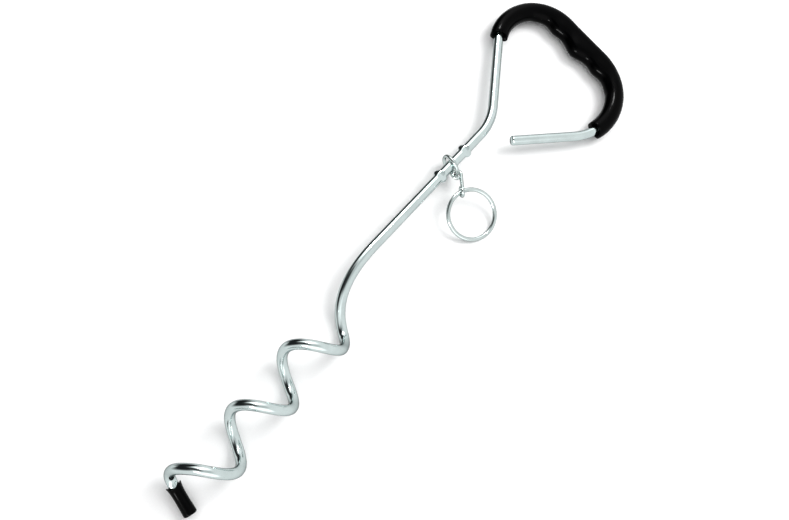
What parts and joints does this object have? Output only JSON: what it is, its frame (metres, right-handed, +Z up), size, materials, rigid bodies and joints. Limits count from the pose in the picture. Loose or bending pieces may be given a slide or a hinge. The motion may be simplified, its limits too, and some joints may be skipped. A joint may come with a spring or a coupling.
{
  "type": "spiral tie-out stake",
  "caption": "Corkscrew ground stake of bent plated rod with an open triangular hand grip, a capped tip and a swivelling tether ring for tying out a pet or gear.",
  "frame": {"origin": "on the floor, below the middle of the stake as it lies at rest", "axes": "+X runs from the coil to the handle along the coil's axis, +Z is up, and +Y is to the left looking along +X"},
  "size_m": [0.5087, 0.134, 0.0394],
  "materials": {
    "rod_plating": "bright nickel-chrome plate over drawn steel rod, with faint draw lines and small tool marks",
    "wire_plating": "bright plated steel wire, slightly duller than the rod",
    "grip_vinyl": "glossy black soft vinyl with a fine orange-peel surface",
    "cap_vinyl": "glossy black dipped vinyl"
  },
  "bodies": {
    "stake": {"stake_rod": "rod_plating", "handle_grip": "grip_vinyl"},
    "cap": {"tip_cap": "cap_vinyl"},
    "loop": {"shank_loop": "wire_plating"},
    "hook": {"s_hook": "wire_plating"},
    "ring": {"tether_ring": "wire_plating"}
  },
  "joints": [
    {"name": "cap_pull", "type": "slide", "parent": "stake", "child": "cap", "axis": [-0.2991, -0.9485, -0.1045], "range_m": [0, 0.03]},
    {"name": "loop_turn", "type": "hinge", "parent": "stake", "child": "loop", "pos_m": [0.07348, 0.01392, 0.01415], "axis": [-0.9987, 0.0349, 0.0366], "continuous": true},
    {"name": "hook_swing", "type": "hinge", "parent": "loop", "child": "hook", "pos_m": [0.07089, 0.0058, 0.01141], "axis": [0.0365, -0.0048, 0.9993], "range_deg": [-20, 75]},
    {"name": "ring_swing", "type": "hinge", "parent": "hook", "child": "ring", "pos_m": [0.06069, -0.00636, 0.01461], "axis": [-0.9272, 0.3746, 0], "range_deg": [-80, 140]}
  ]
}
